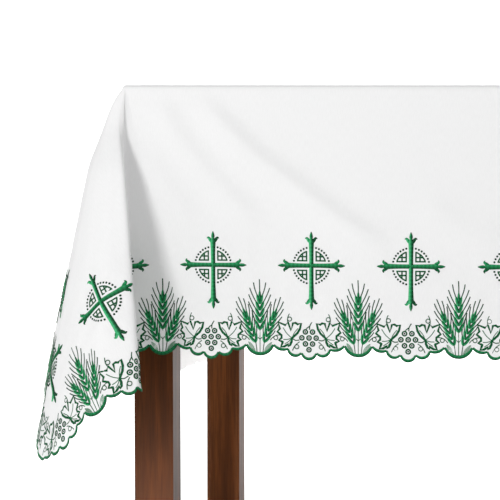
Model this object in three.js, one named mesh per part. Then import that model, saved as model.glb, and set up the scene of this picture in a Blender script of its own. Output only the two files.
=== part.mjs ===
// Altar frontal cloth laid over a plain wooden table.
// Millimetres, +Z up, origin on the floor under the middle of the table.
// +X runs along the table, -Y is the front that faces the viewer.
import * as THREE from 'three';
import { ConvexGeometry } from 'three/addons/geometries/ConvexGeometry.js';

// Cloth sizes
const CLOTH_TOP = 950;            // outer face of the cloth on the table top
const CLOTH_THICKNESS = 1.6;
const CLOTH_LENGTH = 1533;        // between the two end drops
const CLOTH_DEPTH = 840;          // between the front and back drops
const DROP = 476;                 // from the top down to the lowest scallop
const ROLL_RADIUS = 8;            // bend of the cloth over the table's edge
const ASKEW = 0.35;               // degrees the cloth lies turned on the table

// Hem sizes, one repeat holds one wheat arc and five small arcs
const REPEAT = 173.2;
const LENGTH_REPEATS = 14;        // scallop repeats along the length
const DEPTH_REPEATS = 10;         // scallop repeats along the depth
const WHEAT_ARC_WIDTH = 48.7;
const GRAPE_ARC_WIDTHS = [24.0, 24.6, 27.3, 24.6, 24.0];
const CUSP_HEIGHTS = [24.2, 17.7, 10.4, 10.4, 17.7, 24.2];
const ARC_LOWS = [16.0, 5.7, 0.2, 5.7, 16.0];
const WHEAT_ARC_LOW = 7.4;
const CORNER_LOBE_DEPTH = 8;
const HEM_SHIFT = -6;             // how far the repeats lie along each side from its middle
const HEM_STRIP = 10;             // height above the cusps where the scallops end

// Corner fold, directions of the cloth's rays from the table's corner.
// angle is measured in the flat cloth from the front drop round to the side drop,
// inward points along the table, forward points away from it, all in degrees.
const FOLD_FIRST = -13;
const FOLD_STEP = 4;
const FOLD_TABLE = [
  // [inward, forward]
  [13.0, 0.0], [9.0, 0.0], [5.0, 0.0], [1.0, 0.4], [-2.1, 2.9], [-2.0, 6.9],
  [0.9, 9.7], [4.6, 11.5], [7.2, 14.8], [8.7, 18.8], [4.9, 18.8], [0.8, 17.7],
  [-2.5, 15.2], [-5.7, 12.3], [-8.2, 8.9], [-10.3, 5.3], [-11.4, 1.2], [-12.2, -2.9],
  [-13.3, -6.9], [-14.2, -10.9], [-14.9, -15.0], [-14.4, -19.1], [-10.9, -21.1], [-7.5, -18.5],
  [-7.3, -14.5], [-8.0, -10.5], [-6.8, -6.7], [-2.9, -6.0], [-0.3, -9.0], [0.0, -13.0],
];
const FOLD_LAST = FOLD_FIRST + FOLD_STEP * (FOLD_TABLE.length - 1);
const FOLD_STRETCH = 1.05;        // the bias of the cloth lets the corner hang longer
const CORNER_BULGE = 34;          // how far the cloth stands off below the corner
const BULGE_REACH = 35;
const FOLD_START = 145;           // below the corner the fold opens over this length

// Slow waves of the straight drops, how far the hem stands off at most
const FRONT_WAVE = 9;
const SIDE_WAVE = 6;

// Table sizes
const SLAB_GAP = 0.3;
const SLAB_THICKNESS = 30;
const SLAB_CLEARANCE = 3.5;       // slab edge to the middle of the cloth
const SLAB_CHAMFER = 6;
const LEG_SIDE = 70;
const LEG_INSET = 17.5;           // leg faces behind the cloth's drops
const APRON_HEIGHT = 100;
const APRON_THICKNESS = 20;
const APRON_INSET = 6;            // apron face behind the leg face

const rad = THREE.MathUtils.degToRad;
const smooth = (x, lo, hi) => THREE.MathUtils.smoothstep(x, lo, hi);
const quarterRoll = ROLL_RADIUS * Math.PI / 2;
const flatX = CLOTH_LENGTH / 2 - ROLL_RADIUS;
const flatY = CLOTH_DEPTH / 2 - ROLL_RADIUS;
const hang = DROP - ROLL_RADIUS + quarterRoll;
const hemX = flatX + hang;
const hemY = flatY + hang;
const midTop = CLOTH_TOP - CLOTH_THICKNESS / 2;

// Outward reach and fall of the cloth after a length s over the edge
function roll(s) {
  if (s <= 0) return [0, 0];
  if (s < quarterRoll) {
    const turn = s / ROLL_RADIUS;
    return [ROLL_RADIUS * Math.sin(turn), ROLL_RADIUS * (1 - Math.cos(turn))];
  }
  return [ROLL_RADIUS, ROLL_RADIUS + s - quarterRoll];
}

// Smooth reading of the corner fold's table
function foldAngles(angle) {
  const last = FOLD_TABLE.length - 1;
  const place = THREE.MathUtils.clamp((angle - FOLD_FIRST) / FOLD_STEP, 0, last);
  const i = Math.min(Math.floor(place), last - 1);
  const t = place - i;
  const row = (k) => FOLD_TABLE[THREE.MathUtils.clamp(k, 0, last)];
  return [0, 1].map((c) => {
    const [a, b, d, e] = [row(i - 1)[c], row(i)[c], row(i + 1)[c], row(i + 2)[c]];
    return 0.5 * (2 * b + (d - a) * t + (2 * a - 5 * b + 4 * d - e) * t * t
      + (3 * b - a - 3 * d + e) * t * t * t);
  });
}

// The corner fold, u is the length past the side edge and v past the front edge.
// Returns the reach past the side, the reach past the front and the fall.
function cornerFold(u, v) {
  const r = Math.hypot(u, v);
  if (r < 1e-9) return [0, 0, 0];
  const angle = Math.atan2(u, v) * 180 / Math.PI;
  const a = rad(angle);
  const near = Math.min(r, quarterRoll);
  let cap;
  if (angle < 0) {
    const [out, fall] = roll(near * Math.cos(a));
    cap = [near * Math.sin(a), out, fall];
  } else if (angle > 90) {
    const [out, fall] = roll(near * Math.sin(a));
    cap = [out, near * Math.cos(a), fall];
  } else {
    const [out, fall] = roll(near);
    cap = [out * Math.sin(a), out * Math.cos(a), fall];
  }
  const beyond = r - near;
  let straight = [0, 0, 1];
  if (angle < 0) straight = [Math.sin(a), 0, Math.cos(a)];
  if (angle > 90) straight = [0, Math.cos(a), Math.sin(a)];
  const [inward, forward] = foldAngles(angle);
  const ray = new THREE.Vector3(-Math.tan(rad(inward)), Math.tan(rad(forward)), 1).normalize();
  const open = smooth(beyond, 0, FOLD_START);
  const dir = new THREE.Vector3(...straight).lerp(ray, open).normalize();
  const inside = smooth(angle, FOLD_FIRST, FOLD_FIRST + 35)
    * (1 - smooth(angle, FOLD_LAST - 35, FOLD_LAST));
  const reach = beyond * (1 + (FOLD_STRETCH - 1) * inside);
  const bulge = CORNER_BULGE * (1 - Math.exp(-beyond / BULGE_REACH)) * inside;
  const round = rad(90 * THREE.MathUtils.clamp((angle - 10) / 60, 0, 1));
  return [
    cap[0] + reach * dir.x + bulge * Math.sin(round),
    cap[1] + reach * dir.y + bulge * 0.4 * Math.cos(round),
    cap[2] + reach * dir.z,
  ];
}

// Slow waves of a straight drop, zero at the edge and at the corner folds
function wave(along, half, s, height, count) {
  const toCorner = half - Math.abs(along);
  const angle = Math.atan2(toCorner, Math.max(s, 1)) * 180 / Math.PI;
  const window = smooth(angle, -FOLD_FIRST, 38);
  const grow = Math.pow(Math.max(s - quarterRoll, 0) / hang, 1.3);
  const ripple = 0.5 - 0.5 * Math.cos(Math.PI * 2 * count * along / half);
  return height * window * grow * ripple;
}

// Place on the cloth's middle surface of the flat point, lined up with the table
function drape(flatA, flatB) {
  const flip = flatB > 0 ? -1 : 1;
  const a = flatA * flip;
  const b = flatB * flip;
  const side = a < 0 ? -1 : 1;
  const u = Math.abs(a) - flatX;
  const v = -b - flatY;
  let x = a;
  let y = b;
  let fall = 0;
  if (u > 0 || v > 0) {
    const angle = Math.atan2(u, v) * 180 / Math.PI;
    if (angle > FOLD_FIRST && angle < FOLD_LAST) {
      const swap = side > 0;
      const [p, q, z] = swap ? cornerFold(v, u) : cornerFold(u, v);
      x = side * (flatX + (swap ? q : p));
      y = -(flatY + (swap ? p : q));
      fall = z;
    } else if (v > 0) {
      const [out, down] = roll(v);
      y = -(flatY + out + wave(a, flatX, v, FRONT_WAVE, 1.5));
      fall = down;
    } else {
      const [out, down] = roll(u);
      x = side * (flatX + out + wave(b, flatY, u, SIDE_WAVE, 1));
      fall = down;
    }
  }
  return new THREE.Vector3(flip * x, flip * y, midTop - fall);
}

// Outward normal of the draped cloth
function drapeNormal(a, b) {
  const h = 0.5;
  const da = drape(a + h, b).sub(drape(a - h, b));
  const db = drape(a, b + h).sub(drape(a, b - h));
  return da.cross(db).normalize();
}

// One scallop, the arc of the circle through both cusps that just touches the low line
function arc(points, from, to, cuspFrom, cuspTo, low, steps) {
  const a = cuspFrom - low;
  const b = cuspTo - low;
  const width = to - from;
  let middle = width / 2;
  if (Math.abs(a - b) > 1e-6) {
    const c = a * b * (a - b) - a * width * width;
    middle = (Math.sqrt(a * a * width * width - (b - a) * c) - a * width) / (b - a);
  }
  const radius = (middle * middle + a * a) / (2 * a);
  const first = Math.atan2(-middle, radius - a);
  const last = Math.atan2(width - middle, radius - b);
  for (let i = 0; i < steps; i += 1) {
    const turn = first + (last - first) * i / steps;
    points.push([from + middle + radius * Math.sin(turn), low + radius * (1 - Math.cos(turn)), i === 0]);
  }
}

// Scalloped hem of one side as [along, height over the lowest scallop, is a cusp]
function hemSide(repeats) {
  const points = [];
  const grapeWidth = GRAPE_ARC_WIDTHS.reduce((p, q) => p + q, 0);
  let x = -(repeats - 1) / 2 * REPEAT - grapeWidth / 2 + HEM_SHIFT;
  for (let k = 0; k < repeats; k += 1) {
    GRAPE_ARC_WIDTHS.forEach((width, i) => {
      arc(points, x, x + width, CUSP_HEIGHTS[i], CUSP_HEIGHTS[i + 1], ARC_LOWS[i], 3);
      x += width;
    });
    if (k < repeats - 1) {
      arc(points, x, x + WHEAT_ARC_WIDTH, CUSP_HEIGHTS[0], CUSP_HEIGHTS[0], WHEAT_ARC_LOW, 5);
      x += WHEAT_ARC_WIDTH;
    }
  }
  points.push([x, CUSP_HEIGHTS[0], true]);
  return points;
}

// Closed hem outline in the flat cloth, anticlockwise seen from above
function hemOutline() {
  const outline = [];
  const lengthSide = hemSide(LENGTH_REPEATS);
  const depthSide = hemSide(DEPTH_REPEATS);
  const sides = [[0, lengthSide, hemY, hemX], [90, depthSide, hemX, hemY],
    [180, lengthSide, hemY, hemX], [270, depthSide, hemX, hemY]];
  sides.forEach(([turn, points, across, half], k) => {
    const c = Math.round(Math.cos(rad(turn)));
    const s = Math.round(Math.sin(rad(turn)));
    const put = (along, out, cusp) => {
      outline.push([c * along + s * out, s * along - c * out, cusp]);
    };
    points.forEach(([along, height, cusp]) => put(along, across - height, cusp));
    // Plain lobe round the corner, from this side's last cusp to the next side's first one
    const last = points[points.length - 1];
    const next = sides[(k + 1) % 4][1][0];
    const ends = [[last[0] - (half - hang), hang - last[1]], [hang - next[1], hang - across - next[0]]];
    const [from, to] = ends.map(([p, q]) => [Math.atan2(p, q), Math.hypot(p, q)]);
    for (let i = 1; i < 8; i += 1) {
      const t = from[0] + (to[0] - from[0]) * i / 8;
      const r = from[1] + (to[1] - from[1]) * i / 8 + CORNER_LOBE_DEPTH * Math.sqrt(Math.sin(Math.PI * i / 8));
      put(half - hang + r * Math.sin(t), across - hang + r * Math.cos(t), false);
    }
  });
  return outline;
}

// Where the ray through a hem point starts on the edge of the flat top
function rayStart(a, b) {
  const reachX = Math.abs(a) - flatX;
  const reachY = Math.abs(b) - flatY;
  const angle = Math.atan2(reachX, reachY) * 180 / Math.PI;
  const spread = Math.tan(rad(-FOLD_FIRST));
  if (angle <= FOLD_FIRST) {
    return [a * flatX / (flatX - spread * reachY), Math.sign(b) * flatY];
  }
  if (angle >= FOLD_LAST) {
    return [Math.sign(a) * flatX, b * flatY / (flatY - spread * reachX)];
  }
  return [Math.sign(a) * flatX, Math.sign(b) * flatY];
}

// Rings of flat points from the hem in to the edge of the top
function clothRings() {
  const hem = hemOutline();
  const total = hem.length;
  const rings = [];
  const plainHem = (t) => {
    // rectangle outline shared by the inner rings, split at corners
    const corners = [[-hemX, -hemY], [hemX, -hemY], [hemX, hemY], [-hemX, hemY]];
    const k = Math.floor(t) % 4;
    const f = t - Math.floor(t);
    const p = corners[k];
    const q = corners[(k + 1) % 4];
    return [p[0] + (q[0] - p[0]) * f, p[1] + (q[1] - p[1]) * f];
  };
  const sideParameter = ([a, b]) => {
    const southward = Math.abs(b) - flatY >= Math.abs(a) - flatX;
    if (southward && b < 0) return (a + hemX) / (2 * hemX);
    if (!southward && a > 0) return 1 + (b + hemY) / (2 * hemY);
    if (southward) return 2 + (hemX - a) / (2 * hemX);
    return 3 + (hemY - b) / (2 * hemY);
  };
  const [c, s] = [Math.cos(rad(ASKEW)), Math.sin(rad(ASKEW))];
  const hemRing = hem.map(([a, b, cusp]) => {
    const p = [a * c - b * s, a * s + b * c];
    const start = rayStart(...p);
    const reach = Math.max(Math.abs(p[0]) - flatX, Math.abs(p[1]) - flatY);
    const plain = start.map((v, i) => v + (p[i] - v) * hang / reach);
    const above = start.map((v, i) => v + (p[i] - v) * (reach - HEM_STRIP) / reach);
    return { t: sideParameter(plain), flat: p, above, cusp };
  });
  hemRing.sort((p, q) => p.t - q.t);
  rings.push(hemRing);
  rings.push(hemRing.filter((p) => p.cusp).map(({ t, above }) => ({ t, flat: above })));
  const columns = (angleStep, flatStep) => {
    const list = [];
    [[hemX, hemY, flatX, flatY], [hemY, hemX, flatY, flatX]].forEach(([half, , flatHalf], k) => {
      const tangents = [];
      for (let g = FOLD_FIRST; g < 45 - angleStep / 2; g += angleStep) tangents.push(g);
      tangents.push(45);
      const cornerSide = tangents.map((g) => (flatHalf + hang * Math.tan(rad(g))));
      const inner = cornerSide[0];
      const count = Math.max(2, Math.round(2 * inner / flatStep));
      const alongs = [];
      cornerSide.slice().reverse().forEach((v) => alongs.push(-v));
      for (let i = 1; i < count; i += 1) alongs.push(-inner + 2 * inner * i / count);
      cornerSide.forEach((v) => alongs.push(v));
      alongs.pop();
      alongs.forEach((v) => {
        list.push(k + (v + half) / (2 * half));
        list.push(k + 2 + (v + half) / (2 * half));
      });
    });
    return list.sort((p, q) => p - q);
  };
  const ring = (length, angleStep, flatStep) => {
    const ts = columns(angleStep, flatStep);
    rings.push(ts.map((t) => {
      const outer = plainHem(t);
      const start = rayStart(...outer);
      const f = length / hang;
      return { t, flat: start.map((v, i) => v + (outer[i] - v) * f) };
    }));
  };
  ring(380, 4, 110);
  ring(280, 4, 140);
  ring(190, 4, 140);
  ring(120, 4, 140);
  ring(95, 4, 140);
  ring(75, 4, 140);
  ring(45, 4, 200);
  ring(26, 6, 260);
  ring(quarterRoll, 10, 400);
  ring(quarterRoll * 0.66, 15, 400);
  ring(quarterRoll * 0.33, 29, 400);
  return { rings, total };
}

// Closed body of the cloth, both faces and the rim along the hem
function clothGeometry() {
  const { rings } = clothRings();
  const outer = [];
  const inner = [];
  const index = [];
  const half = CLOTH_THICKNESS / 2;
  const ids = rings.map((points) => points.map(({ flat }) => {
    const place = drape(...flat);
    const normal = drapeNormal(...flat);
    outer.push(place.clone().addScaledVector(normal, half));
    inner.push(place.clone().addScaledVector(normal, -half));
    return outer.length - 1;
  }));
  const faces = [];
  for (let k = 0; k + 1 < rings.length; k += 1) {
    const [low, high] = [rings[k], rings[k + 1]];
    let i = 0;
    let j = 0;
    while (i < low.length || j < high.length) {
      const nextLow = i + 1 < low.length ? low[i + 1].t : low[0].t + 4;
      const nextHigh = j + 1 < high.length ? high[j + 1].t : high[0].t + 4;
      const p = ids[k][i % low.length];
      const q = ids[k + 1][j % high.length];
      if (j >= high.length || (i < low.length && nextLow <= nextHigh)) {
        faces.push([p, ids[k][(i + 1) % low.length], q]);
        i += 1;
      } else {
        faces.push([p, ids[k + 1][(j + 1) % high.length], q]);
        j += 1;
      }
    }
  }
  const top = rings.length;
  const corners = [[-flatX, -flatY], [flatX, -flatY], [flatX, flatY], [-flatX, flatY]];
  const cornerIds = corners.map(([a, b]) => {
    outer.push(new THREE.Vector3(a, b, midTop + half));
    inner.push(new THREE.Vector3(a, b, midTop - half));
    return outer.length - 1;
  });
  const lastRing = rings[top - 1];
  const lastIds = ids[top - 1];
  const cornerOf = (t) => Math.floor(((t + 0.5) % 4));
  for (let i = 0; i < lastRing.length; i += 1) {
    const n = (i + 1) % lastRing.length;
    const here = cornerOf(lastRing[i].t);
    const there = cornerOf(lastRing[n].t);
    faces.push([lastIds[i], lastIds[n], cornerIds[here]]);
    if (here !== there) faces.push([lastIds[n], cornerIds[there], cornerIds[here]]);
  }
  faces.push([cornerIds[0], cornerIds[1], cornerIds[2]]);
  faces.push([cornerIds[0], cornerIds[2], cornerIds[3]]);
  const count = outer.length;
  faces.forEach(([p, q, r]) => {
    index.push(p, q, r);
    index.push(count + p, count + r, count + q);
  });
  const hemIds = ids[0];
  hemIds.forEach((p, i) => {
    const q = hemIds[(i + 1) % hemIds.length];
    index.push(p, count + p, count + q);
    index.push(p, count + q, q);
  });
  const geometry = new THREE.BufferGeometry();
  const positions = [...outer, ...inner].flatMap((v) => [v.x, v.y, v.z]);
  geometry.setAttribute('position', new THREE.Float32BufferAttribute(positions, 3));
  geometry.setIndex(index);
  geometry.computeVertexNormals();
  return geometry;
}

// Table slab with cut corners and a chamfered upper edge
const slabTop = CLOTH_TOP - CLOTH_THICKNESS - SLAB_GAP;
const slabBottom = slabTop - SLAB_THICKNESS;
function slabGeometry() {
  const points = [];
  const x = CLOTH_LENGTH / 2 - SLAB_CLEARANCE;
  const y = CLOTH_DEPTH / 2 - SLAB_CLEARANCE;
  [[slabBottom, 0], [slabTop - SLAB_CHAMFER, 0], [slabTop, SLAB_CHAMFER]].forEach(([z, inset]) => {
    [-1, 1].forEach((sx) => [-1, 1].forEach((sy) => {
      points.push(new THREE.Vector3(sx * (x - inset), sy * (y - inset - SLAB_CHAMFER), z));
      points.push(new THREE.Vector3(sx * (x - inset - SLAB_CHAMFER), sy * (y - inset), z));
    }));
  });
  return new ConvexGeometry(points);
}

const group = new THREE.Group();
function add(name, geometry, color, x = 0, y = 0, z = 0) {
  geometry.translate(x, y, z);
  const mesh = new THREE.Mesh(geometry, new THREE.MeshStandardMaterial({ color, name }));
  mesh.name = name;
  group.add(mesh);
}

const WOOD = 0x6b3f22;
add('cloth', clothGeometry(), 0xf2f3f0);
add('table_top', slabGeometry(), WOOD);

const legTop = slabBottom - SLAB_GAP;
const legX = CLOTH_LENGTH / 2 - LEG_INSET - LEG_SIDE / 2;
const legY = CLOTH_DEPTH / 2 - LEG_INSET - LEG_SIDE / 2;
[['front', -1], ['back', 1]].forEach(([row, sy]) => {
  [['left', -1], ['right', 1]].forEach(([column, sx]) => {
    add(`leg_${row}_${column}`, new THREE.BoxGeometry(LEG_SIDE, LEG_SIDE, legTop), WOOD,
      sx * legX, sy * legY, legTop / 2);
  });
});

const apronX = 2 * (legX - LEG_SIDE / 2 - SLAB_GAP);
const apronY = 2 * (legY - LEG_SIDE / 2 - SLAB_GAP);
const apronOut = LEG_SIDE / 2 - APRON_INSET - APRON_THICKNESS / 2;
const apronZ = legTop - APRON_HEIGHT / 2;
[['front', -1], ['back', 1]].forEach(([name, s]) => {
  add(`apron_${name}`, new THREE.BoxGeometry(apronX, APRON_THICKNESS, APRON_HEIGHT), WOOD,
    0, s * (legY + apronOut), apronZ);
});
[['left', -1], ['right', 1]].forEach(([name, s]) => {
  add(`apron_${name}`, new THREE.BoxGeometry(APRON_THICKNESS, apronY, APRON_HEIGHT), WOOD,
    s * (legX + apronOut), 0, apronZ);
});

export default group;
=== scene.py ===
import math
import bpy
import numpy as np
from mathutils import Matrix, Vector
from mathutils.geometry import delaunay_2d_cdt


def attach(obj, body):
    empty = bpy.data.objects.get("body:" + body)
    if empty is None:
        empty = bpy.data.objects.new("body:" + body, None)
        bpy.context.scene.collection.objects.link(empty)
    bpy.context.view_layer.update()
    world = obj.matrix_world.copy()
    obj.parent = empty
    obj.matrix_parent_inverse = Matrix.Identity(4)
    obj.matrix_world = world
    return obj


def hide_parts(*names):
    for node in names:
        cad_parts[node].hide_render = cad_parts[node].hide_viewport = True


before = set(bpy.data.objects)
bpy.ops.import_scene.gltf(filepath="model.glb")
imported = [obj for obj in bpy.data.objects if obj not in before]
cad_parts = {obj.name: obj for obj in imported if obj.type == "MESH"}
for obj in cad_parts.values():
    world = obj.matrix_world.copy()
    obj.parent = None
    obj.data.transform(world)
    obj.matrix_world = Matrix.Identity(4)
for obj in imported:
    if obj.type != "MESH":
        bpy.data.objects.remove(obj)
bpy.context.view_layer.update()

# Table
# A plain oblong altar table of dark stained hardwood: a slab on four square legs, tied
# by four aprons under the slab. Only two legs show below the cloth, so the rest is kept
# plain. The legs are planed, stained and wax polished.
WOOD_DARK = "#371a06"
WOOD_MID = "#4e280b"
WOOD_LIGHT = "#6f3e17"
FIGURE_MM = 26.0
FIGURE_STRETCH = 0.05
# Real pores lie about half a millimetre apart. They are drawn coarser, so that they show
PORE_SPACING_MM = 2.2
PORE_STRETCH = 0.03


def linear(text):
    # An sRGB hex colour as the linear one that Blender works in
    parts = [int(text[i:i + 2], 16) / 255 for i in (1, 3, 5)]
    return [c / 12.92 if c <= 0.04045 else ((c + 0.055) / 1.055) ** 2.4 for c in parts] + [1.0]


def add_node(tree, kind, settings=None, links=None):
    node = tree.nodes.new(kind)
    for key, value in (settings or {}).items():
        if isinstance(key, str) and hasattr(node, key):
            setattr(node, key, value)
        else:
            node.inputs[key].default_value = value
    for key, source in (links or {}).items():
        tree.links.new(source, node.inputs[key])
    return node


def new_material(name):
    material = bpy.data.materials.new(name)
    material.use_nodes = True
    tree = material.node_tree
    tree.nodes.clear()
    output = tree.nodes.new("ShaderNodeOutputMaterial")
    shader = tree.nodes.new("ShaderNodeBsdfPrincipled")
    tree.links.new(shader.outputs[0], output.inputs[0])
    return material, tree, shader


def set_ramp(ramp, stops):
    elements = ramp.color_ramp.elements
    while len(elements) < len(stops):
        elements.new(1.0)
    for element, (position, color) in zip(elements, stops):
        element.position = position
        element.color = linear(color)


def stained_hardwood(name, upright):
    # Stained and waxed hardwood: brown figure along the grain, fine dark pores, soft gloss
    material, tree, shader = new_material(name)
    place = add_node(tree, "ShaderNodeTexCoord")
    along_grain = [add_node(tree, "ShaderNodeMapping",
                            {"Scale": (1, 1, stretch) if upright else (stretch, 1, 1)},
                            {"Vector": place.outputs["Object"]})
                   for stretch in (FIGURE_STRETCH, PORE_STRETCH)]
    figure = add_node(tree, "ShaderNodeTexNoise",
                      {"Scale": 1000 / FIGURE_MM, "Detail": 5.0, "Roughness": 0.6, "Distortion": 0.3},
                      {"Vector": along_grain[0].outputs[0]})
    pores = add_node(tree, "ShaderNodeTexNoise",
                     {"Scale": 1000 / PORE_SPACING_MM, "Detail": 3.0, "Roughness": 0.7},
                     {"Vector": along_grain[1].outputs[0]})
    tones = add_node(tree, "ShaderNodeValToRGB", None, {"Fac": figure.outputs["Fac"]})
    set_ramp(tones, [(0.3, WOOD_DARK), (0.52, WOOD_MID), (0.78, WOOD_LIGHT)])
    streak = add_node(tree, "ShaderNodeMapRange",
                      {"From Min": 0.35, "From Max": 0.6, "To Min": 0.78, "To Max": 1.08},
                      {"Value": pores.outputs["Fac"]})
    mixed = add_node(tree, "ShaderNodeVectorMath", {"operation": "SCALE"},
                     {0: tones.outputs["Color"], "Scale": streak.outputs[0]})
    tree.links.new(mixed.outputs[0], shader.inputs["Base Color"])
    gloss = add_node(tree, "ShaderNodeMapRange",
                     {"From Min": 0.3, "From Max": 0.7, "To Min": 0.5, "To Max": 0.38},
                     {"Value": pores.outputs["Fac"]})
    tree.links.new(gloss.outputs[0], shader.inputs["Roughness"])
    shader.inputs["Specular IOR Level"].default_value = 0.09
    bump = add_node(tree, "ShaderNodeBump", {"Strength": 0.2, "Distance": 0.0003},
                    {"Height": pores.outputs["Fac"]})
    tree.links.new(bump.outputs[0], shader.inputs["Normal"])
    return material


leg_wood = stained_hardwood("stained_hardwood_upright", True)
board_wood = stained_hardwood("stained_hardwood_level", False)
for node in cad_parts:
    if node != "cloth":
        board = bpy.data.objects[node]
        board.data.materials.clear()
        board.data.materials.append(leg_wood if node.startswith("leg") else board_wood)

# Cloth
# One rectangle of plain woven white linen and cotton, laid over the table. It turns over
# the edges in a small roll, falls straight on four sides and gathers at each corner into
# one deep fold, because the square corner has more cloth than the table's corner takes.
SHEET_TOP = 949.2
CLOTH_LENGTH = 1533.0
CLOTH_DEPTH = 840.0
DROP = 476.0
ROLL_RADIUS = 8.0
ASKEW = math.radians(0.35)
QUARTER_ROLL = ROLL_RADIUS * math.pi / 2
FLAT_X = CLOTH_LENGTH / 2 - ROLL_RADIUS
FLAT_Y = CLOTH_DEPTH / 2 - ROLL_RADIUS
HANG = DROP - ROLL_RADIUS + QUARTER_ROLL
HEM_X = FLAT_X + HANG
HEM_Y = FLAT_Y + HANG
FOLD_FIRST = -13.0
FOLD_STEP = 4.0
FOLD_TABLE = np.array([
    # [inward, forward] in degrees, every 4 degrees of the flat corner
    [13.0, 0.0], [9.0, 0.0], [5.0, 0.0], [1.0, 0.4], [-2.1, 2.9], [-2.0, 6.9],
    [0.9, 9.7], [4.6, 11.5], [7.2, 14.8], [8.7, 18.8], [4.9, 18.8], [0.8, 17.7],
    [-2.5, 15.2], [-5.7, 12.3], [-8.2, 8.9], [-10.3, 5.3], [-11.4, 1.2], [-12.2, -2.9],
    [-13.3, -6.9], [-14.2, -10.9], [-14.9, -15.0], [-14.4, -19.1], [-10.9, -21.1], [-7.5, -18.5],
    [-7.3, -14.5], [-8.0, -10.5], [-6.8, -6.7], [-2.9, -6.0], [-0.3, -9.0], [0.0, -13.0],
])
FOLD_LAST = FOLD_FIRST + FOLD_STEP * (len(FOLD_TABLE) - 1)
FOLD_STRETCH = 1.05
CORNER_BULGE = 34.0
BULGE_REACH = 35.0
FOLD_START = 145.0
FRONT_WAVE = 9.0
SIDE_WAVE = 6.0


def smooth(x, low, high):
    t = np.clip((x - low) / (high - low), 0.0, 1.0)
    return t * t * (3 - 2 * t)


def roll(s):
    # How far out and down the cloth is at a way s past the table's edge line
    turn = np.clip(s, 0, QUARTER_ROLL) / ROLL_RADIUS
    out = ROLL_RADIUS * np.sin(turn)
    fall = ROLL_RADIUS * (1 - np.cos(turn)) + np.clip(s - QUARTER_ROLL, 0, None)
    return out, fall


def fold_angles(angle):
    # The corner fold's lean at an angle in the flat corner, smooth between the table's rows
    last = len(FOLD_TABLE) - 1
    place = np.clip((angle - FOLD_FIRST) / FOLD_STEP, 0, last)
    i = np.minimum(np.floor(place).astype(int), last - 1)
    t = (place - i)[:, None]
    a, b, d, e = [FOLD_TABLE[np.clip(i + k, 0, last)] for k in (-1, 0, 1, 2)]
    return 0.5 * (2 * b + (d - a) * t + (2 * a - 5 * b + 4 * d - e) * t ** 2
                  + (3 * b - a - 3 * d + e) * t ** 3)


def corner_fold(u, v):
    # Out to the side, out to the front and down, for points past the table's corner
    r = np.hypot(u, v)
    a = np.arctan2(u, v)
    angle = np.degrees(a)
    near = np.minimum(r, QUARTER_ROLL)
    front, side = angle < 0, angle > 90
    s = np.where(front, near * np.cos(a), np.where(side, near * np.sin(a), near))
    out, fall = roll(s)
    sine, cosine = np.sin(a), np.cos(a)
    cap_u = np.where(front, near * sine, np.where(side, out, out * sine))
    cap_v = np.where(front, out, np.where(side, near * cosine, out * cosine))
    cap = np.stack([cap_u, cap_v, fall], 1)
    beyond = r - near
    zero, one = np.zeros_like(a), np.ones_like(a)
    straight = np.stack([np.where(front, sine, zero), np.where(side, cosine, zero),
                         np.where(front, cosine, np.where(side, sine, one))], 1)
    bends = np.radians(fold_angles(angle))
    ray = np.stack([-np.tan(bends[:, 0]), np.tan(bends[:, 1]), one], 1)
    ray /= np.linalg.norm(ray, axis=1)[:, None]
    opening = smooth(beyond, 0, FOLD_START)[:, None]
    way = straight * (1 - opening) + ray * opening
    way /= np.linalg.norm(way, axis=1)[:, None]
    inside = smooth(angle, FOLD_FIRST, FOLD_FIRST + 35)
    inside *= 1 - smooth(angle, FOLD_LAST - 35, FOLD_LAST)
    reach = beyond * (1 + (FOLD_STRETCH - 1) * inside)
    bulge = CORNER_BULGE * (1 - np.exp(-beyond / BULGE_REACH)) * inside
    turn = np.radians(90 * np.clip((angle - 10) / 60, 0, 1))
    push = np.stack([bulge * np.sin(turn), bulge * 0.4 * np.cos(turn), zero], 1)
    return cap + reach[:, None] * way + push


def slow_wave(along, half, s, height, count):
    # A slow wave along a drop, that grows to the hem and fades to the corner folds
    angle = np.degrees(np.arctan2(half - np.abs(along), np.maximum(s, 1)))
    window = smooth(angle, -FOLD_FIRST, 38)
    grow = np.power(np.maximum(s - QUARTER_ROLL, 0) / HANG, 1.3)
    return height * window * grow * (0.5 - 0.5 * np.cos(2 * np.pi * count * along / half))


def past_edges(flat):
    # Turns the back half of the cloth to the front, with the ways past the side and front edge
    flip = np.where(flat[:, 1] > 0, -1.0, 1.0)
    a, b = flat[:, 0] * flip, flat[:, 1] * flip
    return flip, a, b, np.abs(a) - FLAT_X, -b - FLAT_Y


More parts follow.
